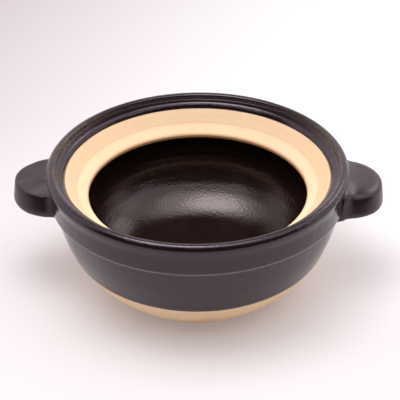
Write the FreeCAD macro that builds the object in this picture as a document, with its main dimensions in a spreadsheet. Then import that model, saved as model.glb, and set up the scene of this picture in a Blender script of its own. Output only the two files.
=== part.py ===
"""Glazed stoneware casserole pot of the donabe kind: a thrown bowl with a gallery for a lid, two lug handles
luted to its wall, and the coats of glaze on the bowl and on the handles.

Millimetres. +Z is up, the origin is the centre of the base where the pot rests, and the handles lie along X.
"""
import FreeCAD
import Part
import math
import os

import Sketcher

# ---------------------------------------------------------------- driving dimensions
# A radius is from the pot's axis and a level is a height above the surface that the pot rests on. They are those
# of the fired clay, and the glaze lies on top of it. A round is the radius of an arc.
DIMENSIONS = {
    # base: a flat resting ring round a shallow turned hollow, with a bevelled edge
    "hollow_radius": 61.0,
    "hollow_depth": 1.5,
    "ring_inner_radius": 64.0,
    "ring_outer_radius": 75.6,
    "bevel_radius": 78.4,
    "bevel_level": 1.4,
    # outside wall, from the base to the step under the rim band
    "glaze_line_radius": 107.8,
    "glaze_line_level": 38.0,
    "lower_wall_round": 98.0,
    "shoulder_radius": 114.4,
    "shoulder_level": 57.0,
    "middle_wall_round": 150.0,
    "step_radius": 120.0,
    "step_level": 80.4,
    "upper_wall_round": 260.0,
    # rim band and rolled lip
    "band_radius": 122.4,
    "band_foot_level": 81.5,
    "band_top_level": 99.4,
    "lip_radius": 124.2,
    "lip_low_level": 101.5,
    "lip_high_level": 102.9,
    "lip_outer_round": 4.3,
    "lip_top_radius": 119.9,
    "lip_top_level": 107.2,
    "lip_inner_round": 2.2,
    "lip_inner_radius": 118.2,
    "lip_inner_level": 106.2,
    # glazed part of the gallery, inside the lip
    "crease_radius": 117.6,
    "crease_level": 102.9,
    "shelf_radius": 113.0,
    "shelf_level": 101.7,
    "seat_edge_radius": 110.2,
    "seat_edge_level": 97.7,
    # bare ring that a lid sits on, and its rounded nose
    "seat_bend_radius": 100.8,
    "seat_bend_level": 88.0,
    "seat_end_radius": 95.2,
    "seat_end_level": 83.6,
    "mouth_radius": 92.0,
    "mouth_high_level": 80.2,
    "mouth_low_level": 79.0,
    "nose_round": 3.6,
    # cooking cavity
    "nose_root_radius": 98.0,
    "nose_root_level": 74.6,
    "belly_radius": 106.0,
    "belly_level": 57.0,
    "belly_round": 20.0,
    "heel_radius": 94.2,
    "heel_level": 28.0,
    "side_round": 60.0,
    "floor_radius": 61.5,
    "floor_level": 8.4,
    "heel_round": 52.0,
    "floor_middle_level": 8.0,
    # coats: the glaze, and the slip under a handle, which is as thick as the glaze beside it
    "glaze_thickness": 0.8,
    # a lug handle: a tab with a round end
    "lug_root": 108.0,
    "lug_reach": 154.4,
    "lug_half_width": 32.6,
    "lug_low_level": 74.2,
    "lug_high_level": 92.2,
    "crisp_edge_round": 2.2,
    "soft_edge_round": 5.2,
    "lower_edge_round": 6.6,
}

doc = FreeCAD.newDocument("clay_pot")
sheet = doc.addObject("Spreadsheet::Sheet", "dims")
for row, (alias, value) in enumerate(DIMENSIONS.items(), start=1):
    sheet.set(f"A{row}", alias)
    sheet.set(f"B{row}", str(value))
    sheet.setAlias(f"B{row}", alias)
doc.recompute()


def size(expression):
    """The value in millimetres of an expression on the sheet's cells."""
    return float(sheet.evalExpression(expression))


def cell(alias, share=0.0):
    """An expression for a cell, plus a share of the glaze's thickness."""
    if share == 0.0:
        return f"dims.{alias}"
    sign = "+" if share > 0 else "-"
    return f"dims.{alias} {sign} {abs(share)} * dims.glaze_thickness"


# ---------------------------------------------------------------- corners and outlines
class Corner:
    """A corner of the pot's section, named by the cells of its radius and level.

    lie is where the glaze's face lies, outward and upward from the clay, in shares of the glaze's thickness.
    round_cell is the round of the stretch that leads to the corner, or None for a straight one. The section is
    walked with the clay on the left, and bulge is +1 where the stretch bulges out of the clay and -1 where it
    is hollow.
    """

    def __init__(self, radius, level, lie=(0.0, 0.0), round_cell=None, bulge=1):
        self.radius = radius
        self.level = level
        self.lie = lie
        self.round_cell = round_cell
        self.bulge = bulge

    def stop(self, coated=False):
        """The corner as a stop of an outline, on the clay or on the glaze's face."""
        outward, upward = self.lie if coated else (0.0, 0.0)
        radius = cell(self.radius, outward) if self.radius else None
        rounding = cell(self.round_cell, self.bulge if coated else 0.0) if self.round_cell else None
        return radius, cell(self.level, upward), rounding, self.bulge


def arc_between(start, end, radius, bulge):
    """An arc of less than half a turn, bulging to the right (+1) or left (-1) of the way from start to end."""
    chord = end - start
    right = FreeCAD.Vector(chord.y, -chord.x, 0).normalize()
    depth = math.sqrt(radius**2 - (chord.Length / 2) ** 2)
    centre = (start + end) / 2 - right * (bulge * depth)
    # an arc runs anticlockwise, so one that bulges to the left is drawn from its end
    low, high = (start, end) if bulge > 0 else (end, start)
    angles = [math.atan2(p.y - centre.y, p.x - centre.x) for p in (low, high)]
    return Part.ArcOfCircle(Part.Circle(centre, FreeCAD.Vector(0, 0, 1), radius), *angles)


def sketch_on(body, role, name):
    """An empty sketch on one of the body's own origin planes."""
    sketch = body.newObject("Sketcher::SketchObject", name)
    plane = next(feature for feature in body.Origin.OriginFeatures if feature.Role == role)
    sketch.AttachmentSupport = [(plane, "")]
    sketch.MapMode = "FlatFace"
    sketch.Visibility = False
    return sketch


def bind(sketch, kind, expression, *where):
    """Adds a constraint to a sketch and ties its value to an expression."""
    number = sketch.addConstraint(Sketcher.Constraint(kind, *where, size(expression)))
    sketch.setExpression(f"Constraints[{number}]", expression)


def draw_outline(sketch, stops):
    """Draws a closed outline. A stop is (across, up, round, bulge): the first three are expressions, a None across
    is on the pot's axis, and a None round is a straight stretch to the stop from the one before it."""
    points = [FreeCAD.Vector(size(across) if across else 0.0, size(up), 0) for across, up, _, _ in stops]
    edges = []
    for i, (_, _, rounding, bulge) in enumerate(stops):
        if rounding is None:
            number = sketch.addGeometry(Part.LineSegment(points[i - 1], points[i]), False)
        else:
            arc = arc_between(points[i - 1], points[i], size(rounding), bulge)
            number = sketch.addGeometry(arc, False)
            bind(sketch, "Radius", rounding, number)
        forwards = rounding is None or bulge > 0
        edges.append((number, 1, 2) if forwards else (number, 2, 1))
    for i, (across, up, _, _) in enumerate(stops):
        edge, _, end = edges[i]
        next_edge, next_start, _ = edges[(i + 1) % len(stops)]
        sketch.addConstraint(Sketcher.Constraint("Coincident", edge, end, next_edge, next_start))
        if across is None:
            sketch.addConstraint(Sketcher.Constraint("PointOnObject", edge, end, -2))
        else:
            bind(sketch, "DistanceX", across, -1, 1, edge, end)
        bind(sketch, "DistanceY", up, -1, 1, edge, end)


def turned(name, stops):
    """A body turned about the pot's axis from an outline of radii and levels."""
    body = doc.addObject("PartDesign::Body", name)
    sketch = sketch_on(body, "XZ_Plane", f"{name}_section")
    draw_outline(sketch, stops)
    turn = body.newObject("PartDesign::Revolution", f"{name}_turn")
    turn.Profile = sketch
    turn.ReferenceAxis = (sketch, ["V_Axis"])
    turn.Angle = 360
    doc.recompute()
    return body


# ---------------------------------------------------------------- the pot's section
# Up the outside from the glaze line, over the lip, and down to the outer edge of the bare seat.
OUTSIDE = [
    Corner("glaze_line_radius", "glaze_line_level", (0.90, -0.44), "lower_wall_round"),
    Corner("shoulder_radius", "shoulder_level", (0.97, -0.24), "middle_wall_round"),
    Corner("step_radius", "step_level", (1.00, -0.30), "upper_wall_round"),
    Corner("band_radius", "band_foot_level", (1.00, -0.30)),
    Corner("band_radius", "band_top_level", (1.00, 0.35)),
    Corner("lip_radius", "lip_low_level", (1.00, 0.35)),
    Corner("lip_radius", "lip_high_level", (1.00, 0.20)),
    Corner("lip_top_radius", "lip_top_level", (0.10, 1.00), "lip_outer_round"),
    Corner("lip_inner_radius", "lip_inner_level", (-0.85, 0.60), "lip_inner_round"),
    Corner("crease_radius", "crease_level", (-0.80, 0.75)),
    Corner("shelf_radius", "shelf_level", (-0.60, 0.85)),
    Corner("seat_edge_radius", "seat_edge_level", (-0.75, 0.65)),
]
# The bare seat, and the nose at the mouth of the cavity.
SEAT = [
    Corner("seat_bend_radius", "seat_bend_level"),
    Corner("seat_end_radius", "seat_end_level"),
    Corner("mouth_radius", "mouth_high_level", round_cell="nose_round"),
]
# Under the nose, and down the cavity to the middle of its floor.
CAVITY = [
    Corner("mouth_radius", "mouth_low_level", (-0.30, -0.95)),
    Corner("nose_root_radius", "nose_root_level", (-0.70, -0.70)),
    Corner("belly_radius", "belly_level", (-1.00, 0.05), "belly_round", -1),
    Corner("heel_radius", "heel_level", (-0.86, 0.52), "side_round", -1),
    Corner("floor_radius", "floor_level", (-0.20, 1.00), "heel_round", -1),
    Corner(None, "floor_middle_level", (0.0, 1.00)),
]


def clay_bowl():
    """The thrown bowl: base, wall, rim, gallery and cavity in one piece of clay."""
    rest = "0"
    # the bevel leaves the resting ring without a corner, which gives its round
    rise = "dims.bevel_level"
    run = "(dims.bevel_radius - dims.ring_outer_radius)"
    bevel_round = f"({run} * {run} + {rise} * {rise}) / (2 * {rise})"
    base = [
        (None, cell("hollow_depth"), None, 1),
        (cell("hollow_radius"), cell("hollow_depth"), None, 1),
        (cell("ring_inner_radius"), rest, None, 1),
        (cell("ring_outer_radius"), rest, None, 1),
        (cell("bevel_radius"), cell("bevel_level"), bevel_round, 1),
    ]
    return turned("clay_bowl", base + [corner.stop() for corner in OUTSIDE + SEAT + CAVITY])


def coat(name, corners):
    """A coat of glaze on a run of the section: along the clay, and back along the glaze's own face."""
    _, _, _, bulge = corners[0].stop()
    stops = [(*corners[0].stop()[:2], None, bulge)] + [corner.stop() for corner in corners[1:]]
    rounding, bulge = None, 1
    for corner in reversed(corners):
        across, up, next_rounding, next_bulge = corner.stop(coated=True)
        stops.append((across, up, rounding, -bulge))
        rounding, bulge = next_rounding, next_bulge
    return turned(name, stops)


def glazed_wall():
    """A solid ring out to the glaze's face, from the shoulder to the lip, that cuts a handle's root to fit."""
    faces = [corner.stop(coated=True) for corner in OUTSIDE[1:7]]
    bottom, top = faces[0][1], faces[-1][1]
    core = "dims.lug_root - 10"
    start = (faces[0][0], bottom, None, 1)
    return turned("glazed_wall", [(core, bottom, None, 1), start, *faces[1:], (core, top, None, 1)])


# ---------------------------------------------------------------- lug handles
def lug(name, grown, upper_round, turned_by):
    """A tab with a round end, from inside the wall outwards, grown on every side by a share of the glaze.

    upper_round is the cell of its upper edge's round, and turned_by its angle about the pot's axis.
    """
    body = doc.addObject("PartDesign::Body", name)
    sketch = sketch_on(body, "XY_Plane", f"{name}_plan")
    sketch.setExpression("AttachmentOffset.Base.z", cell("lug_low_level", -grown))
    root, reach = cell("lug_root"), cell("lug_reach", grown)
    half = cell("lug_half_width", grown)
    straight = "dims.lug_reach - dims.lug_half_width"
    draw_outline(sketch, [
        (root, f"-1 * ({half})", None, 1),
        (straight, f"-1 * ({half})", None, 1),
        (reach, "0", half, 1),
        (straight, half, half, 1),
        (root, half, None, 1),
    ])
    pad = body.newObject("PartDesign::Pad", f"{name}_pad")
    pad.Profile = sketch
    pad.setExpression("Length", f"{cell('lug_high_level', grown)} - ({cell('lug_low_level', -grown)})")
    doc.recompute()
    base = pad
    for level, round_cell in (("lug_high_level", upper_round), ("lug_low_level", "lower_edge_round")):
        height = size(cell(level, grown if level == "lug_high_level" else -grown))
        edges = [
            f"Edge{number}"
            for number, edge in enumerate(base.Shape.Edges, start=1)
            if abs(edge.BoundBox.ZMin - height) < 0.01
            and abs(edge.BoundBox.ZMax - height) < 0.01
            and edge.BoundBox.XMax > size(root) + 1
        ]
        fillet = body.newObject("PartDesign::Fillet", f"{name}_{round_cell}")
        fillet.Base = (base, edges)
        fillet.setExpression("Radius", cell(round_cell, grown))
        doc.recompute()
        base = fillet
    body.Placement = FreeCAD.Placement(
        FreeCAD.Vector(), FreeCAD.Rotation(FreeCAD.Vector(0, 0, 1), turned_by)
    )
    doc.recompute()
    return body


def boolean(kind, name, base, tool):
    """The second object cut from the first (Part::Cut), or what the two share (Part::Common)."""
    result = doc.addObject(kind, name)
    result.Base = base
    result.Tool = tool
    doc.recompute()
    return result


# ---------------------------------------------------------------- assembly
bowl = clay_bowl()
coat_blank = coat("coat_blank", OUTSIDE)
inner_glaze = coat("inner_glaze_coat", CAVITY)
wall = glazed_wall()

parts = {"clay_bowl": bowl, "inner_glaze_coat": inner_glaze}
outer_glaze = coat_blank
for side, turned_by, upper_round in (("right", 0, "soft_edge_round"), ("left", 180, "crisp_edge_round")):
    clay_lug = lug(f"{side}_lug", 0, upper_round, turned_by)
    glazed_lug = lug(f"{side}_glazed_lug", 1, upper_round, turned_by)
    glaze_blank = boolean("Part::Cut", f"{side}_lug_coat", glazed_lug, clay_lug)
    parts[f"{side}_handle"] = boolean("Part::Cut", f"{side}_handle", clay_lug, wall)
    parts[f"{side}_handle_slip"] = boolean("Part::Common", f"{side}_handle_slip", coat_blank, clay_lug)
    parts[f"{side}_handle_glaze"] = boolean("Part::Cut", f"{side}_handle_glaze", glaze_blank, wall)
    outer_glaze = boolean("Part::Cut", f"outer_glaze_less_{side}", outer_glaze, clay_lug)
parts["outer_glaze_coat"] = outer_glaze

for node, sub_part in parts.items():
    sub_part.Label = node
doc.recompute()

# ---------------------------------------------------------------- checks and files
for thing in doc.Objects:
    if "Invalid" in thing.State or "Error" in thing.State:
        raise RuntimeError(f"{thing.Name} failed: {thing.State}")
os.makedirs("parts", exist_ok=True)
for node, sub_part in parts.items():
    shape = sub_part.Shape
    if shape.isNull() or not shape.isValid():
        raise RuntimeError(f"{node} has no valid shape")
    shape.exportStep(f"parts/{node}.step")
    print(f"{node}: {len(shape.Solids)} solid, {shape.Volume / 1000:.1f} cm3")
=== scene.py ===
import math

import bmesh
import bpy
from mathutils import Matrix, Quaternion, Vector, noise


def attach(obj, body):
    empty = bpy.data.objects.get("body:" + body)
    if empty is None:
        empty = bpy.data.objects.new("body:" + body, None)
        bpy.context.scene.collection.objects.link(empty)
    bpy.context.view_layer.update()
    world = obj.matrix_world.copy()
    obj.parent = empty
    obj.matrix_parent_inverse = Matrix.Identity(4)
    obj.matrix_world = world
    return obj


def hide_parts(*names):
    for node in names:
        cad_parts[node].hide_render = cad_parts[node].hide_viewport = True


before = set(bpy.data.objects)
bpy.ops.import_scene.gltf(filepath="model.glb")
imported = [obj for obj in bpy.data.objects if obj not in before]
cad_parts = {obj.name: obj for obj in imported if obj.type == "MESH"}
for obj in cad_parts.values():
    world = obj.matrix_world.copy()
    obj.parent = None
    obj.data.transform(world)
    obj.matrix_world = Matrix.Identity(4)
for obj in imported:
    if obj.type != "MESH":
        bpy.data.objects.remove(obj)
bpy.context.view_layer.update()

MM = 0.001

# ------------------------------------------------------------------ clay bowl
# The bowl is thrown on a wheel from coarse buff stoneware and its foot is turned once it is leather hard.
# Base, wall, rim band, rolled lip and the gallery where a lid sits are one piece of clay. Its section is in
# millimetres: radii from the axis, and levels above the table, walked with the clay on the left.
WALL_FOOT = (78.6, 1.4)
WALL_TOP = (119.9, 80.2)
SEAT_EDGE = (110.2, 97.7)
NOSE_UNDER = (92.6, 78.2)
BELLY = (105.8, 55.0)
FLOOR_EDGE = (61.0, 8.7)


def rounded(corners, spacing=1.5):
    """A run of (radius, level, round) corners, each eased into a curve as wide as its round, with points on
    the straight stretches no further apart than the spacing."""
    longest_share = 0.48
    degrees_a_step = 9
    run = [corners[0][:2]]
    for before, here, after in zip(corners, corners[1:], corners[2:]):
        corner = Vector(here[:2])
        arms = [Vector(before[:2]) - corner, Vector(after[:2]) - corner]
        turn = math.pi - arms[0].angle(arms[1])
        reach = here[2] * math.tan(turn / 2)
        start, end = (corner + arm.normalized() * min(reach, longest_share * arm.length) for arm in arms)
        steps = max(2, round(math.degrees(turn) / degrees_a_step))
        for i in range(steps + 1):
            t = i / steps
            run.append(tuple(start * (1 - t) ** 2 + corner * 2 * t * (1 - t) + end * t**2))
    run.append(corners[-1][:2])
    fine = run[:1]
    for before, here in zip(map(Vector, run), map(Vector, run[1:])):
        pieces = max(1, math.ceil((here - before).length / spacing))
        fine += [tuple(before.lerp(here, i / pieces)) for i in range(1, pieces + 1)]
    return fine


def swept(start, lead, trail, end, steps):
    """A curve from start to end that leaves towards lead and arrives from trail, without its start."""
    run = []
    for i in range(1, steps + 1):
        t = i / steps
        weights = ((1 - t) ** 3, 3 * t * (1 - t) ** 2, 3 * t * t * (1 - t), t**3)
        points = (start, lead, trail, end)
        run.append(tuple(sum(w * p[k] for w, p in zip(weights, points)) for k in (0, 1)))
    return run


foot = rounded([(0, 1.5, 0), (61, 1.5, 2.0), (64.5, 0, 2.0), (76.0, 0, 3.0), WALL_FOOT + (0,)], 4.0)
wall = swept(WALL_FOOT, (105.1, 23.0), (113.3, 46.0), WALL_TOP, 44)
# out over the step, up the rim band, over the lip and down to the edge of the bare seat
rim = rounded([
    WALL_TOP + (0,), (120.1, 81.0, 0.4), (122.6, 81.6, 0.3), (123.0, 97.0, 20.0), (124.2, 102.0, 16.0),
    (124.3, 104.4, 3.4), (121.9, 107.3, 3.4), (118.5, 107.1, 1.6), (117.5, 103.0, 1.6), (113.4, 101.7, 2.2),
    SEAT_EDGE + (0,),
])
# down the gallery's riser, along its shelf and round the nose
seat = rounded([
    SEAT_EDGE + (0,), (100.8, 88.0, 4.0), (92.7, 82.4, 1.2), (91.4, 80.6, 0.9), (91.7, 77.9, 0.7),
    NOSE_UNDER + (0,),
])
cavity = (
    swept(NOSE_UNDER, (99.0, 73.4), (107.2, 67.5), BELLY, 16)
    + swept(BELLY, (106.5, 40.0), (86.0, 13.6), FLOOR_EDGE, 40)
    + rounded([FLOOR_EDGE + (0,), (57.0, 8.3, 3.0), (0, 8.0, 0)], 4.0)[1:]
)


def node(tree, kind, inputs=None, **settings):
    """Adds a node with its settings. An input is a value, or the socket that feeds it."""
    made = tree.nodes.new(kind)
    for name, value in settings.items():
        setattr(made, name, value)
    for socket, value in (inputs or {}).items():
        if isinstance(value, bpy.types.NodeSocket):
            tree.links.new(value, made.inputs[socket])
        else:
            made.inputs[socket].default_value = value
    return made


def throwing_wheel():
    """The node tree that turns a section about the pot's axis as a wheel does: a spiral of finger marks, a
    form that is not quite round, and a glaze edge that wanders."""
    tree = bpy.data.node_groups.new("throwing wheel", "GeometryNodeTree")
    tree.interface.new_socket("Section", in_out="INPUT", socket_type="NodeSocketGeometry")
    for name, kind in (
        ("Around", "Int"), ("Finger Pitch", "Float"), ("Finger Depth", "Float"), ("Wobble", "Float"),
        ("Rim Lift", "Float"), ("Edge Wander", "Float"), ("Edge Tilt", "Float"), ("Seed", "Float"),
        ("Finish", "Material"),
    ):
        tree.interface.new_socket(name, in_out="INPUT", socket_type=f"NodeSocket{kind}")
    tree.interface.new_socket("Form", in_out="OUTPUT", socket_type="NodeSocketGeometry")
    sizes = node(tree, "NodeGroupInput").outputs

    def maths(operation, *values):
        return node(tree, "ShaderNodeMath", dict(enumerate(values)), operation=operation).outputs[0]

    def scaled(vector, factor):
        return node(tree, "ShaderNodeVectorMath", {0: vector, "Scale": factor}, operation="SCALE").outputs[0]

    def waver(vector, scale, seed):
        """Smooth noise between about -1 and 1."""
        made = node(tree, "ShaderNodeTexNoise", {"Vector": vector, "W": seed, "Scale": scale, "Detail": 1.5},
                    noise_dimensions="4D")
        return maths("MULTIPLY", maths("SUBTRACT", made.outputs[0], 0.5), 3.0)

    # a sheet of faces with one row for each point of the section and one column for each step round
    counted = node(tree, "GeometryNodeAttributeDomainSize", {"Geometry": sizes["Section"]})
    stops = counted.outputs["Point Count"]
    columns = maths("ADD", sizes["Around"], 1)
    sheet = node(tree, "GeometryNodeMeshGrid", {"Vertices X": stops, "Vertices Y": columns})
    index = node(tree, "GeometryNodeInputIndex").outputs[0]
    row = maths("FLOOR", maths("DIVIDE", maths("ADD", index, 0.5), columns))
    column = maths("SUBTRACT", index, maths("MULTIPLY", row, columns))
    angle = maths("MULTIPLY", maths("DIVIDE", column, sizes["Around"]), math.tau)

    def from_section(name, kind):
        """What the section holds at this row: its place, or one of its own attributes."""
        if name == "position":
            value = node(tree, "GeometryNodeInputPosition").outputs[0]
        else:
            value = node(tree, "GeometryNodeInputNamedAttribute", {"Name": name}, data_type=kind).outputs[0]
        return node(tree, "GeometryNodeSampleIndex",
                    {"Geometry": sizes["Section"], "Value": value, "Index": row}, data_type=kind).outputs[0]

    def turned(vector):
        return node(tree, "ShaderNodeVectorRotate", {"Vector": vector, "Angle": angle},
                    rotation_type="Z_AXIS").outputs[0]

    place = from_section("position", "FLOAT_VECTOR")
    parts = node(tree, "ShaderNodeSeparateXYZ", {0: place}).outputs
    outward = turned((1.0, 0.0, 0.0))
    climb = maths("MULTIPLY", maths("DIVIDE", parts["Z"], sizes["Finger Pitch"]), math.tau)
    phase = maths("ADD", climb, angle)
    uneven = maths("ADD", 1.0, maths("MULTIPLY", waver(turned(place), 22.0, 9.0), 0.6))
    fingers = maths("MULTIPLY", maths("MULTIPLY", maths("SINE", phase), sizes["Finger Depth"]), uneven)
    fingers = maths("MULTIPLY", fingers, from_section("fingers", "FLOAT"))
    # the form is out of round in proportion to its radius, and rises and falls with the cube of its level
    around = maths("MULTIPLY", waver(outward, 0.9, sizes["Seed"]), sizes["Wobble"])
    wobble = maths("MULTIPLY", around, maths("DIVIDE", parts["X"], 0.125))
    lift = maths("MULTIPLY", waver(outward, 1.3, maths("ADD", sizes["Seed"], 5.0)), sizes["Rim Lift"])
    lift = maths("MULTIPLY", lift, maths("POWER", maths("DIVIDE", parts["Z"], 0.108), 3.0))
    wander = maths("MULTIPLY", waver(outward, 3.4, maths("ADD", sizes["Seed"], 11.0)), sizes["Edge Wander"])
    # an edge that the pot's own tilt in the dip leaves higher at the back than at the front
    wander = maths("ADD", wander, maths("MULTIPLY", maths("SINE", angle), sizes["Edge Tilt"]))
    along = scaled(turned(from_section("wander", "FLOAT_VECTOR")), wander)
    place = turned(place)
    for shift in (scaled(outward, maths("ADD", fingers, wobble)), scaled((0.0, 0.0, 1.0), lift), along):
        place = node(tree, "ShaderNodeVectorMath", {0: place, 1: shift}, operation="ADD").outputs[0]
    form = node(tree, "GeometryNodeSetPosition",
                {"Geometry": sheet.outputs["Mesh"], "Position": place}).outputs[0]
    for name in ("thin", "toast"):
        form = node(tree, "GeometryNodeStoreNamedAttribute",
                    {"Geometry": form, "Name": name, "Value": from_section(name, "FLOAT")}).outputs[0]
    form = node(tree, "GeometryNodeMergeByDistance", {"Geometry": form, "Distance": 0.02 * MM}).outputs[0]
    form = node(tree, "GeometryNodeFlipFaces", {"Mesh": form}).outputs[0]
    form = node(tree, "GeometryNodeSetShadeSmooth", {"Geometry": form}).outputs[0]
    form = node(tree, "GeometryNodeRealizeInstances", {"Geometry": form}).outputs[0]
    form = node(tree, "GeometryNodeSetMaterial", {"Geometry": form, "Material": sizes["Finish"]}).outputs[0]
    node(tree, "NodeGroupOutput", {"Form": form})
    return tree


wheel = throwing_wheel()
WHEEL_SIZES = {
    "Around": 288, "Finger Pitch": 7.5 * MM, "Finger Depth": 0.11 * MM, "Wobble": 0.22 * MM,
    "Rim Lift": 0.12 * MM, "Edge Wander": 0.0, "Edge Tilt": 0.0, "Seed": 3.0,
}


def plain(radius, level):
    """Nothing of an attribute, anywhere."""
    return 0.0


def thrown(name, section, finish, fingers=plain, thin=plain, toast=plain, wander=plain, **sizes):
    """A piece turned from a section in millimetres. The other functions give, at a radius and level, how deep
    the finger marks are, how thin the glaze is, how toasted the clay is, and how far the edge may wander."""
    mesh = bpy.data.meshes.new(name)
    spots = [(r * MM, 0, z * MM) for r, z in section]
    mesh.from_pydata(spots, [(i, i + 1) for i in range(len(spots) - 1)], [])
    for field, rule in (("fingers", fingers), ("thin", thin), ("toast", toast)):
        held = mesh.attributes.new(field, "FLOAT", "POINT")
        held.data.foreach_set("value", [rule(r, z) for r, z in section])
    held = mesh.attributes.new("wander", "FLOAT_VECTOR", "POINT")
    # the way up the wall where the glaze ends, so that its edge wanders along the clay
    slope = Vector((0.49, 0.0, 1.0)).normalized()
    held.data.foreach_set("vector", [x for r, z in section for x in slope * wander(r, z)])
    turning = bpy.data.objects.new(f"{name}_section", mesh)
    bpy.context.scene.collection.objects.link(turning)
    modifier = turning.modifiers.new("wheel", "NODES")
    modifier.node_group = wheel
    values = {**WHEEL_SIZES, **sizes, "Finish": finish}
    for item in wheel.interface.items_tree:
        if item.in_out == "INPUT" and item.name in values:
            modifier[item.identifier] = values[item.name]
    bpy.context.view_layer.update()
    shaped = turning.evaluated_get(bpy.context.evaluated_depsgraph_get())
    solid = bpy.data.meshes.new_from_object(shaped)
    bpy.data.objects.remove(turning)
    piece = bpy.data.objects.new(name, solid)
    bpy.context.scene.collection.objects.link(piece)
    return piece


def linear(hex_colour):
    """An sRGB colour such as "#e0b894" as the linear colour that a shader takes."""
    channels = [int(hex_colour[i : i + 2], 16) / 255 for i in (1, 3, 5)]
    return (*(c / 12.92 if c <= 0.04045 else ((c + 0.055) / 1.055) ** 2.4 for c in channels), 1.0)


def bare_fired_stoneware():
    """Coarse buff stoneware fired without glaze: chalky, with fine grog that shows as specks and a sandy
    tooth, and toasted orange where the flame or the edge of the glaze has coloured it."""
    material = bpy.data.materials.new("bare fired stoneware")
    material.use_nodes = True
    tree = material.node_tree
    shader = tree.nodes["Principled BSDF"]
    shader.inputs["Roughness"].default_value = 0.82
    shader.inputs["IOR"].default_value = 1.45
    shader.inputs["Specular IOR Level"].default_value = 0.25
    place = node(tree, "ShaderNodeTexCoord").outputs["Object"]
    # clouds of about 30 mm, and grog specks of about 0.9 mm, a little coarser than real grains so they show
    clouds = node(tree, "ShaderNodeTexNoise", {"Vector": place, "Scale": 1 / 0.030, "Detail": 3.0}).outputs[0]
    specks = node(tree, "ShaderNodeTexNoise",
                  {"Vector": place, "Scale": 1 / 0.0009, "Detail": 2.0}).outputs[0]
    toasted = node(tree, "ShaderNodeAttribute", attribute_name="toast").outputs["Fac"]
    pale = node(tree, "ShaderNodeMix", {"Factor": clouds, 6: linear("#f7dbb9"), 7: linear("#f1cfa6")},
                data_type="RGBA").outputs[2]
    # the turned base is flashed in blotches of 25 mm or so
    flash = node(tree, "ShaderNodeTexNoise", {"Vector": place, "Scale": 1 / 0.025, "Detail": 4.0}).outputs[0]
    flash = node(tree, "ShaderNodeMapRange", {"Value": flash, "From Min": 0.54, "From Max": 0.70}).outputs[0]
    level = node(tree, "ShaderNodeSeparateXYZ", {0: place}).outputs["Z"]
    base = node(tree, "ShaderNodeMapRange", {
        "Value": level, "From Min": 0.014, "From Max": 0.026, "To Min": 0.25, "To Max": 0.0,
    }).outputs[0]
    flash = node(tree, "ShaderNodeMath", {0: flash, 1: base}, operation="MULTIPLY").outputs[0]
    toasted = node(tree, "ShaderNodeMath", {0: toasted, 1: flash}, operation="MAXIMUM").outputs[0]
    warmth = node(tree, "ShaderNodeMapRange", {"Value": toasted, "From Max": 1.0, "To Max": 0.85}).outputs[0]
    warm = node(tree, "ShaderNodeMix", {"Factor": warmth, 6: pale, 7: linear("#cf8a4e")},
                data_type="RGBA").outputs[2]
    dark = node(tree, "ShaderNodeMapRange",
                {"Value": specks, "From Min": 0.66, "From Max": 0.76, "To Max": 0.35}).outputs[0]
    colour = node(tree, "ShaderNodeMix", {"Factor": dark, 6: warm, 7: linear("#8a5f3c")},
                  data_type="RGBA").outputs[2]
    tree.links.new(colour, shader.inputs["Base Color"])
    tooth = node(tree, "ShaderNodeTexNoise", {"Vector": place, "Scale": 1 / 0.0012, "Detail": 3.0}).outputs[0]
    bump = node(tree, "ShaderNodeBump", {"Strength": 0.5, "Distance": 0.15 * MM, "Height": tooth})
    tree.links.new(bump.outputs[0], shader.inputs["Normal"])
    return material


stoneware = bare_fired_stoneware()


def bell(value, middle, width):
    """1 at the middle, falling away smoothly on both sides."""
    return math.exp(-(((value - middle) / width) ** 2))


def wall_fingers(radius, level):
    """Finger marks are deepest halfway up the wall, and fade out towards the turned foot and the rim band."""
    on_the_wall = level < 79 and radius > 106
    return 0.3 * bell(level, 56.0, 14.0) if on_the_wall else 0.0


def cavity_fingers(radius, level):
    """Inside they are deepest below the belly, and fade out on the floor and under the nose."""
    return 0.5 * bell(level, 30.0, 14.0)


def bowl_toast(radius, level):
    """The clay is toasted at the nose of the seat, and less on the gallery's riser and at its foot."""
    nose = bell(radius, 91.2, 0.8) if level > 75 else 0.0
    riser = 0.20 * bell(radius, 105.5, 3.8) + 0.20 * bell(radius, 101.0, 1.2) if level > 86 else 0.0
    return 0.9 * nose + riser


bowl = thrown("clay_bowl_thrown", foot + wall[:-1] + rim[:-1] + seat[:-1] + cavity, stoneware,
              fingers=wall_fingers, toast=bowl_toast)
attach(bowl, "root")
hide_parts("clay_bowl")

# ------------------------------------------------------------------ glaze on the bowl
# The bowl was dipped in an iron glaze that fires black. Outside, plum-toned, it goes from a wandering line
# above the foot over the lip to the edge of the bare gallery. Poured in and out, it pooled in the cavity.
GLAZE = 0.8
GLAZE_LINE = 37.6


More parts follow.
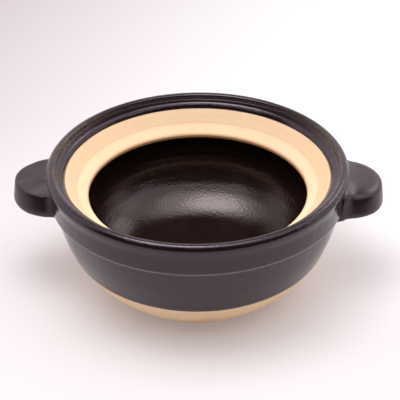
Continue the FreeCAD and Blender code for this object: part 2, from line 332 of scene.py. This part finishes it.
def coat(run, thick, fade_start=True, fade_end=True):
    """The section of a coat of glaze on a run of the clay: its face, with rolled edges, and back along the
    clay. Where an edge fades, the coat thickens over its roll, and a bead stands behind it."""
    roll = 1.6
    bead_at, bead_width, bead_share = 3.0, 1.8, 0.3
    thinnest_share = 0.04

    def fine(points):
        near = Vector(points[0])
        away = (Vector(points[1]) - near).normalized()
        steps = [tuple(near + away * step) for step in (0.12, 0.3, 0.55, 0.9, 1.4)]
        return [points[0]] + steps + points[1:]

    if fade_start:
        run = fine(run)
    if fade_end:
        run = fine(run[::-1])[::-1]
    spots = [Vector(point) for point in run]
    travelled = [0.0]
    for a, b in zip(spots, spots[1:]):
        travelled.append(travelled[-1] + (b - a).length)
    face = []
    for i, spot in enumerate(spots):
        way = (spots[min(i + 1, len(spots) - 1)] - spots[max(i - 1, 0)]).normalized()
        cover = 1.0
        for faded, distance in ((fade_start, travelled[i]), (fade_end, travelled[-1] - travelled[i])):
            if faded:
                cover *= math.sqrt(1 - (1 - min(distance / roll, 1.0)) ** 2)
                cover *= 1 + bead_share * bell(distance, bead_at, bead_width)
        if spot.x < 0.01:
            way = Vector((-1.0, 0.0))
        face.append(spot + Vector((way.y, -way.x)) * thick * max(cover, thinnest_share))
    back = spots[::-1]
    loop = face + back
    if fade_start:
        loop = loop + [face[0]]
    return [tuple(point) for point in loop]


def black_iron_glaze(finish, deep, pale, sheen, glossiest, mattest, peel_depth, run_depth):
    """Iron glaze, fired black: glossy, with orange peel, pinholes and faint vertical runs. Where it is thin
    it breaks to brown on the lip; below the lip, along its marked line, it is lighter grey. The depths are in
    millimetres."""
    material = bpy.data.materials.new(f"black iron glaze, {finish}")
    material.use_nodes = True
    tree = material.node_tree
    shader = tree.nodes["Principled BSDF"]
    shader.inputs["IOR"].default_value = 1.56
    shader.inputs["Specular Tint"].default_value = linear(sheen)
    place = node(tree, "ShaderNodeTexCoord").outputs["Object"]
    clouds = node(tree, "ShaderNodeTexNoise", {"Vector": place, "Scale": 1 / 0.018, "Detail": 3.0}).outputs[0]
    black = node(tree, "ShaderNodeMix", {"Factor": clouds, 6: linear(deep), 7: linear(pale)},
                 data_type="RGBA").outputs[2]
    thin = node(tree, "ShaderNodeAttribute", attribute_name="thin").outputs["Fac"]
    streaks = node(tree, "ShaderNodeTexNoise",
                   {"Vector": place, "Scale": 1 / 0.006, "Detail": 4.0}).outputs[0]
    patch = node(tree, "ShaderNodeMapRange", {"Value": streaks, "From Min": 0.3, "From Max": 0.7}).outputs[0]
    # on the lip it breaks only towards the handles, where the pot was held and drained
    axes = node(tree, "ShaderNodeSeparateXYZ", {0: place}).outputs
    across = node(tree, "ShaderNodeMath", {0: axes["X"]}, operation="ABSOLUTE").outputs[0]
    aside = node(tree, "ShaderNodeMapRange",
                 {"Value": across, "From Min": 0.085, "From Max": 0.116}).outputs[0]
    below = node(tree, "ShaderNodeMapRange", {
        "Value": axes["Z"], "From Min": 0.096, "From Max": 0.099, "To Min": 1.0, "To Max": 0.0,
    }).outputs[0]
    bare = node(tree, "ShaderNodeMath", {0: aside, 1: below}, operation="MAXIMUM").outputs[0]
    patch = node(tree, "ShaderNodeMath", {0: patch, 1: below}, operation="MAXIMUM").outputs[0]
    broken = node(tree, "ShaderNodeMath", {0: thin, 1: patch}, operation="MULTIPLY").outputs[0]
    broken = node(tree, "ShaderNodeMath", {0: broken, 1: bare}, operation="MULTIPLY").outputs[0]
    break_colour = node(tree, "ShaderNodeMix", {"Factor": below, 6: linear("#5c4c44"), 7: linear("#7a6e74")},
                        data_type="RGBA").outputs[2]
    colour = node(tree, "ShaderNodeMix", {"Factor": broken, 6: black, 7: break_colour},
                  data_type="RGBA").outputs[2]
    tree.links.new(colour, shader.inputs["Base Color"])
    gloss = node(tree, "ShaderNodeMapRange",
                 {"Value": clouds, "To Min": glossiest, "To Max": mattest}).outputs[0]
    tree.links.new(gloss, shader.inputs["Roughness"])
    # ripples of about 9 mm, orange peel of 2 mm, runs 5 mm wide, and a pinhole every 8 mm or so
    ripple = node(tree, "ShaderNodeTexNoise",
                  {"Vector": place, "Scale": 1 / 0.009, "Detail": 1.0}).outputs[0]
    peel = node(tree, "ShaderNodeTexNoise", {"Vector": place, "Scale": 1 / 0.0020, "Detail": 1.0}).outputs[0]
    upright = node(tree, "ShaderNodeVectorMath",
                   {0: place, 1: (1.0, 1.0, 0.15)}, operation="MULTIPLY").outputs[0]
    runs = node(tree, "ShaderNodeTexNoise", {"Vector": upright, "Scale": 1 / 0.005, "Detail": 2.0}).outputs[0]
    dots = node(tree, "ShaderNodeTexVoronoi", {"Vector": place, "Scale": 1 / 0.008}).outputs["Distance"]
    holes = node(tree, "ShaderNodeMapRange",
                 {"Value": dots, "From Max": 0.06, "To Min": 0.0, "To Max": 1.0}).outputs[0]
    bump = node(tree, "ShaderNodeBump", {"Strength": 1.0, "Distance": 0.10 * MM, "Height": ripple}).outputs[0]
    bump = node(tree, "ShaderNodeBump",
                {"Distance": run_depth * MM, "Height": runs, "Normal": bump}).outputs[0]
    bump = node(tree, "ShaderNodeBump", {
        "Strength": 1.0, "Distance": peel_depth * MM, "Height": peel, "Normal": bump,
    }).outputs[0]
    bump = node(tree, "ShaderNodeBump",
                {"Strength": 1.0, "Distance": 0.15 * MM, "Height": holes, "Normal": bump})
    tree.links.new(bump.outputs[0], shader.inputs["Normal"])
    return material


pooled_glaze = black_iron_glaze(
    "pooled", deep="#1a0f0d", pale="#281a18", sheen="#ffecef",
    glossiest=0.14, mattest=0.24, peel_depth=0.18, run_depth=0.0,
)
plum_glaze = black_iron_glaze(
    "plum-toned", deep="#150c10", pale="#1f1318", sheen="#ffedf8",
    glossiest=0.10, mattest=0.17, peel_depth=0.08, run_depth=0.20,
)


def edge_thin(radius, level):
    """The glaze ran thin over the lip's two inner edges; the foot of the rim band is marked too, for a
    lighter grey line.
    """
    on_the_lip = level > 101
    on_the_step = radius > 121
    lip = (0.6 * bell(radius, 118.9, 1.4) + 0.5 * bell(radius, 116.4, 1.2)) * on_the_lip
    step = 0.9 * bell(level, 81.7, 0.55) * on_the_step
    return lip + step


def line_wander(radius, level):
    """Only the lower edge of the outer coat wanders, less and less up to 20 mm above it."""
    near_the_line = radius > 100 and level < 60
    return max(0.0, 1.0 - (level - GLAZE_LINE) / 20.0) if near_the_line else 0.0


outside = [point for point in wall if point[1] > GLAZE_LINE] + rim[1:]
outer_coat = thrown("outer_glaze", coat(outside, GLAZE), plum_glaze, fingers=wall_fingers, thin=edge_thin,
                    wander=line_wander, **{"Edge Wander": 0.45 * MM, "Edge Tilt": 4.6 * MM})
inner_coat = thrown("inner_glaze", coat(seat[-2:] + cavity, GLAZE, fade_end=False), pooled_glaze,
                    fingers=cavity_fingers)
for piece, cad_node in ((outer_coat, "outer_glaze_coat"), (inner_coat, "inner_glaze_coat")):
    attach(piece, "root")
    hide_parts(cad_node)

# ------------------------------------------------------------------ lug handles
# Each lug is a pad of the same clay, pressed by hand, and luted to the scored wall across the step of the
# rim band. The left one has a crisp edge and a dished top. The right one is softer, fuller and droops more.
# Near is the side towards the front of the pot. Plan is how square the outline is: 2 is an ellipse.
LUGS = {
    "left": dict(
        turn=math.pi + 0.017, reach=154.4, half_width=34.2, plan=2.0, near=1, near_half=37.0, near_plan=2.1,
        top=92.6, bottom=74.4, lean=6.5, upper_edge=1.3, lower_edge=5.8, crown=-0.9, belly=0.6, droop=0.5,
        root_round=3.0, seed=2.0,
    ),
    "right": dict(
        turn=0.0, reach=154.8, half_width=34.0, plan=2.2, near=-1, near_half=35.6, near_plan=2.35,
        top=92.8, bottom=73.3, lean=6.5, upper_edge=5.0, lower_edge=5.0, crown=1.0, belly=0.8, droop=0.9,
        root_round=6.0, seed=7.0,
    ),
}
COLUMNS = 96
LUG_START = 118.0
LUG_SPAN = 33.0
satin_glaze = black_iron_glaze(
    "satin", deep="#150c10", pale="#20141a", sheen="#ffecf6",
    glossiest=0.24, mattest=0.34, peel_depth=0.08, run_depth=0.0,
)


def wall_radius(level):
    """The radius of the glazed wall that a lug stands on, from the bowl's own section."""
    for below, above in zip(outside, outside[1:]):
        if below[1] <= level < above[1]:
            share = (level - below[1]) / (above[1] - below[1])
            return below[0] + (above[0] - below[0]) * share + GLAZE
    return outside[0][0] + GLAZE


def lug_face(lug):
    """The glazed face of a lug as rows of points in millimetres, from the middle of its top, out over its
    edge, and in to the middle of its underside, with its open end on the wall."""
    middle = (lug["top"] + lug["bottom"]) / 2
    edge = []
    for k in range(COLUMNS + 1):
        swing = math.pi * (k / COLUMNS - 0.5)
        across, out = math.sin(swing), math.cos(swing)
        is_near = across * lug["near"] > 0
        power = 2 / lug["near_plan" if is_near else "plan"]
        x = LUG_START + (lug["reach"] - LUG_START) * abs(out) ** power
        y = lug["near_half" if is_near else "half_width"] * math.copysign(abs(across) ** power, across)
        edge.append(Vector((x, y)))
    rows = []
    for half, sign, face_round in (("top", 1, lug["upper_edge"]), ("bottom", -1, lug["lower_edge"])):
        height = abs(lug[half] - middle)
        swell = lug["crown"] if half == "top" else lug["belly"]
        profile = [(share, None) for share in (0.0, 0.15, 0.3, 0.45, 0.6, 0.75, 0.88)]
        profile += [(None, angle) for angle in (90, 75, 60, 45, 30, 15, 0)]
        half_rows = []
        for share, angle in profile:
            row = []
            for k, spot in enumerate(edge):
                inward = Vector((LUG_START, 0)) - spot
                if angle is None:
                    fraction, drop = share, 0.0
                    flat = Vector((LUG_START, 0)) - inward * share * (1 - face_round / inward.length)
                else:
                    slide = face_round * (1 - math.cos(math.radians(angle)))
                    flat = spot + inward.normalized() * slide
                    fraction, drop = 1.0, face_round * (1 - math.sin(math.radians(angle)))
                z = middle + sign * (height - drop + swell * (1 - fraction**2))
                row.append(Vector((flat.x, flat.y, z)))
            half_rows.append(row)
        rows += half_rows if sign > 0 else half_rows[::-1]
    return rows


def settled(lug, spot):
    """Where a point of the pressed pad ends up: drooping, uneven, and flaring into the wall."""
    middle = (lug["top"] + lug["bottom"]) / 2
    x, y, z = spot
    # its near side, where the palm pressed, leans in towards the top from its widest line, 6 mm under the
    # middle, and its end leans a third as much
    widest = 6.0
    height = min(max((z - middle + widest) / (lug["top"] - middle + widest), 0.0), 1.0)
    pressed = lug["lean"] * (0.6 + 0.4 * math.tanh(y * lug["near"] / 12.0))
    x -= 0.35 * pressed * height * min(1.0, max(0.0, x - LUG_START) / LUG_SPAN)
    y *= 1 - pressed * height / lug["half_width"]
    out = max(0.0, x - math.sqrt(wall_radius(z) ** 2 - y * y))
    flare = lug["root_round"] * max(0.0, 1 - out / (1.6 * lug["root_round"])) ** 2
    z += math.copysign(flare * 0.6, z - middle) * min(1.0, abs(z - middle) / 3.0)
    y += math.copysign(flare, y) * min(1.0, abs(y) / 20.0) ** 3
    z -= lug["droop"] * ((x - LUG_START) / LUG_SPAN) ** 2
    # lumps about 18 mm and 6 mm across, from the fingers
    lump = noise.noise(Vector((x, y, z)) * 0.055 + Vector((lug["seed"], 0, 0)))
    fine = noise.noise(Vector((x, y, z)) * 0.16 + Vector((0, lug["seed"], 0)))
    z += (lump * 0.6 + fine * 0.10) * min(1.0, abs(z - middle) / 4.0)
    x += (lump * 0.4 + fine * 0.08) * min(1.0, out / 12.0)
    return Vector((x, y, z))


def lug_meshes(lug):
    """Meshes of a lug's clay and of its coat of glaze, both closed and let a little into the wall's glaze."""
    bite = 0.35
    rows = [[settled(lug, spot) for spot in row] for row in lug_face(lug)]
    skin = bmesh.new()
    for row in rows:
        for spot in row:
            skin.verts.new(spot)
    skin.verts.ensure_lookup_table()
    width = COLUMNS + 1
    for i in range(len(rows) - 1):
        for k in range(COLUMNS):
            a = i * width + k
            skin.faces.new([skin.verts[n] for n in (a, a + width, a + width + 1, a + 1)])
    bmesh.ops.remove_doubles(skin, verts=skin.verts, dist=0.01)
    tops = [v for v in skin.verts if not v.is_boundary and v.co.z > lug["top"] - 2.5]
    for verts, passes in (([v for v in skin.verts if not v.is_boundary], 1), (tops, 6)):
        for _ in range(passes):
            bmesh.ops.smooth_vert(skin, verts=verts, factor=0.5,
                                  use_axis_x=True, use_axis_y=True, use_axis_z=True)
    skin.normal_update()
    made = []
    for depth in (0.0, GLAZE):
        layer = skin.copy()
        layer.normal_update()
        moved = [v.co - v.normal * depth for v in layer.verts]
        for vert, spot in zip(layer.verts, moved):
            vert.co = spot
            if vert.is_boundary:
                seat_radius = wall_radius(spot.z) - bite
                vert.co.x = math.sqrt(seat_radius**2 - spot.y**2)
        made.append(layer)
    skin.free()
    outer, inner = made
    clay = inner.copy()
    bmesh.ops.holes_fill(clay, edges=clay.edges, sides=0)
    coat_mesh = bpy.data.meshes.new("lug_coat")
    inner_mesh = bpy.data.meshes.new("lug_inner")
    bmesh.ops.reverse_faces(inner, faces=inner.faces)
    inner.to_mesh(inner_mesh)
    outer.from_mesh(inner_mesh)
    bmesh.ops.bridge_loops(outer, edges=[e for e in outer.edges if e.is_boundary])
    outer.to_mesh(coat_mesh)
    clay_mesh = bpy.data.meshes.new("lug_clay")
    clay.to_mesh(clay_mesh)
    bpy.data.meshes.remove(inner_mesh)
    for layer in (outer, inner, clay):
        layer.free()
    return clay_mesh, coat_mesh


for side, lug in LUGS.items():
    for mesh, name, finish, cad_node, slot in zip(
        lug_meshes(lug), ("lug", "lug_glaze"), (stoneware, satin_glaze), ("handle", "handle_glaze"),
        ("bare_stoneware", "black_glaze"),
    ):
        mesh.transform(Matrix.Rotation(lug["turn"], 4, "Z") @ Matrix.Scale(MM, 4))
        mesh.shade_smooth()
        mesh.materials.append(finish)
        piece = bpy.data.objects.new(f"{side}_{name}", mesh)
        bpy.context.scene.collection.objects.link(piece)
        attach(piece, "root")
        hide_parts(f"{side}_{cad_node}")

# ------------------------------------------------------------------ luting slip
# Under each lug a skin of the same clay, wetted to a cream and brushed on the scored wall, holds it in place.
# Its shape is the CAD model's own, so it only gets its material here.
def dried_slip():
    """Clay slip, fired: the body's own clay without its grog, so smoother and a shade darker."""
    material = bpy.data.materials.new("dried clay slip")
    material.use_nodes = True
    tree = material.node_tree
    shader = tree.nodes["Principled BSDF"]
    shader.inputs["Roughness"].default_value = 0.75
    place = node(tree, "ShaderNodeTexCoord").outputs["Object"]
    brush = node(tree, "ShaderNodeTexNoise", {"Vector": place, "Scale": 1 / 0.003, "Detail": 3.0}).outputs[0]
    colour = node(tree, "ShaderNodeMix", {"Factor": brush, 6: linear("#b89470"), 7: linear("#a88560")},
                  data_type="RGBA").outputs[2]
    tree.links.new(colour, shader.inputs["Base Color"])
    return material


slip = dried_slip()
for side in LUGS:
    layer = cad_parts[f"{side}_handle_slip"]
    layer.data.materials.clear()
    layer.data.materials.append(slip)

# ------------------------------------------------------------------ table
# The pot stands on a sheet of paper given a glow of painted light, as on a studio light table, so that the
# pot's shadow is faint. The sheet is far wider than the pot, and its edges lie outside the camera's view.
def paper_with_painted_light_and_shade():
    """Matt paper with painted light: light grey and glowing, and at the back painted with shade, grading from
    grey at the left to pale.
    """
    material = bpy.data.materials.new("background paper, painted glow and shade")
    material.use_nodes = True
    tree = material.node_tree
    shader = tree.nodes["Principled BSDF"]
    shader.inputs["Roughness"].default_value = 0.95
    shader.inputs["Specular IOR Level"].default_value = 0.1
    place = node(tree, "ShaderNodeTexCoord").outputs["Object"]
    axes = node(tree, "ShaderNodeSeparateXYZ", {0: place}).outputs
    # painted shade: the back of the sheet grades from darker at the left to paler at the right, standing in
    # for light that falls off towards the left
    across = node(tree, "ShaderNodeMapRange",
                  {"Value": axes["X"], "From Min": -0.30, "From Max": 0.20}).outputs[0]
    behind = node(tree, "ShaderNodeMapRange",
                  {"Value": axes["Y"], "From Min": -0.10, "From Max": 0.25}).outputs[0]
    back = node(tree, "ShaderNodeMix", {"Factor": across, 6: linear("#b3aaae"), 7: linear("#d6d4d6")},
                data_type="RGBA").outputs[2]
    colour = node(tree, "ShaderNodeMix", {"Factor": behind, 6: linear("#c8c2c3"), 7: back},
                  data_type="RGBA").outputs[2]
    tree.links.new(colour, shader.inputs["Base Color"])
    # painted light: the paper glows in its own colour, so that it lights the pot from below and fills its
    # shadow
    tree.links.new(colour, shader.inputs["Emission Color"])
    # painted shadow: the glow is turned down beside the foot, to deepen the pot's shadow there
    flat = node(tree, "ShaderNodeVectorMath",
                {0: place, 1: (1.0, 1.0, 0.0)}, operation="MULTIPLY").outputs[0]
    apart = node(tree, "ShaderNodeVectorMath", {0: flat}, operation="LENGTH").outputs["Value"]
    glow_with_painted_shadow = node(tree, "ShaderNodeMapRange", {
        "Value": apart, "From Min": 0.078, "From Max": 0.125, "To Min": 0.34, "To Max": 0.52,
    }).outputs[0]
    tree.links.new(glow_with_painted_shadow, shader.inputs["Emission Strength"])
    return material


HALF_SHEET = 3.0
paper_mesh = bpy.data.meshes.new("paper")
corners = [(-1, -1), (1, -1), (1, 1), (-1, 1)]
paper_mesh.from_pydata([(x * HALF_SHEET, y * HALF_SHEET, 0.0) for x, y in corners], [], [(0, 1, 2, 3)])
paper_mesh.materials.append(paper_with_painted_light_and_shade())
paper = bpy.data.objects.new("paper", paper_mesh)
bpy.context.scene.collection.objects.link(paper)

# ------------------------------------------------------------------ light and camera
# A broad soft box with a bright heart hangs over the pot, and a small one stands behind it at the right.
# The room's walls are white, apart from its dark front, which the lip and the lugs mirror, and its ceiling
# is dark.
world = bpy.data.worlds.new("studio")
bpy.context.scene.world = world
world.use_nodes = True
sky = world.node_tree
background = sky.nodes["Background"]
background.inputs["Color"].default_value = linear("#fbf3f7")
way = node(sky, "ShaderNodeSeparateXYZ", {0: node(sky, "ShaderNodeTexCoord").outputs["Generated"]}).outputs
in_front = node(sky, "ShaderNodeMapRange", {"Value": way["Y"], "From Min": 0.0, "From Max": -0.25}).outputs[0]
above = node(sky, "ShaderNodeMapRange", {"Value": way["Z"], "From Min": 0.0, "From Max": 0.08}).outputs[0]
dark = node(sky, "ShaderNodeMath", {0: in_front, 1: above}, operation="MULTIPLY").outputs[0]
low = node(sky, "ShaderNodeMapRange",
           {"Value": way["Z"], "From Min": 0.60, "From Max": 0.80, "To Min": 1.15, "To Max": 0.04}).outputs[0]
strength = node(sky, "ShaderNodeMapRange", {"Value": dark, "To Min": 1.0, "To Max": 0.03}).outputs[0]
strength = node(sky, "ShaderNodeMath", {0: strength, 1: low}, operation="MULTIPLY").outputs[0]
sky.links.new(strength, background.inputs["Strength"])


def soft_box(name, place, aim, width, depth, watts, shape="RECTANGLE"):
    """A flat light at a place, facing its aim."""
    lamp = bpy.data.lights.new(name, "AREA")
    lamp.shape = shape
    lamp.size = width
    lamp.size_y = depth
    lamp.energy = watts
    light = bpy.data.objects.new(name, lamp)
    bpy.context.scene.collection.objects.link(light)
    light.location = place
    light.rotation_euler = (Vector(aim) - Vector(place)).to_track_quat("-Z", "Y").to_euler()
    return light


soft_box("overhead", (0.20, -0.15, 1.20), (0.20, -0.15, 0.0), 2.5, 1.25, 12.0)
soft_box("overhead_middle", (-0.12, -0.10, 1.19), (-0.12, -0.10, 0.0), 1.35, 0.95, 5.0, "ELLIPSE")
soft_box("overhead_heart", (-0.22, -0.05, 1.18), (-0.22, -0.05, 0.0), 0.7, 0.55, 4.6, "ELLIPSE")
soft_box("rear_right", (0.85, 0.85, 0.95), (0.25, 0.45, 0.0), 0.7, 0.7, 2.5, "ELLIPSE")

camera_data = bpy.data.cameras.new("camera")
camera_data.lens = 111.9
camera_data.sensor_width = 36.0
camera = bpy.data.objects.new("camera", camera_data)
bpy.context.scene.collection.objects.link(camera)
eye = Vector((0.0307, -0.8803, 0.6387))
aim = Vector((0.0017, 0.0, 0.0701))
roll = math.radians(-0.605)
camera.location = eye
turn = (aim - eye).to_track_quat("-Z", "Y")
camera.rotation_euler = (turn @ Quaternion((0, 0, 1), roll)).to_euler()
bpy.context.scene.camera = camera
bpy.context.scene.view_settings.view_transform = "Standard"
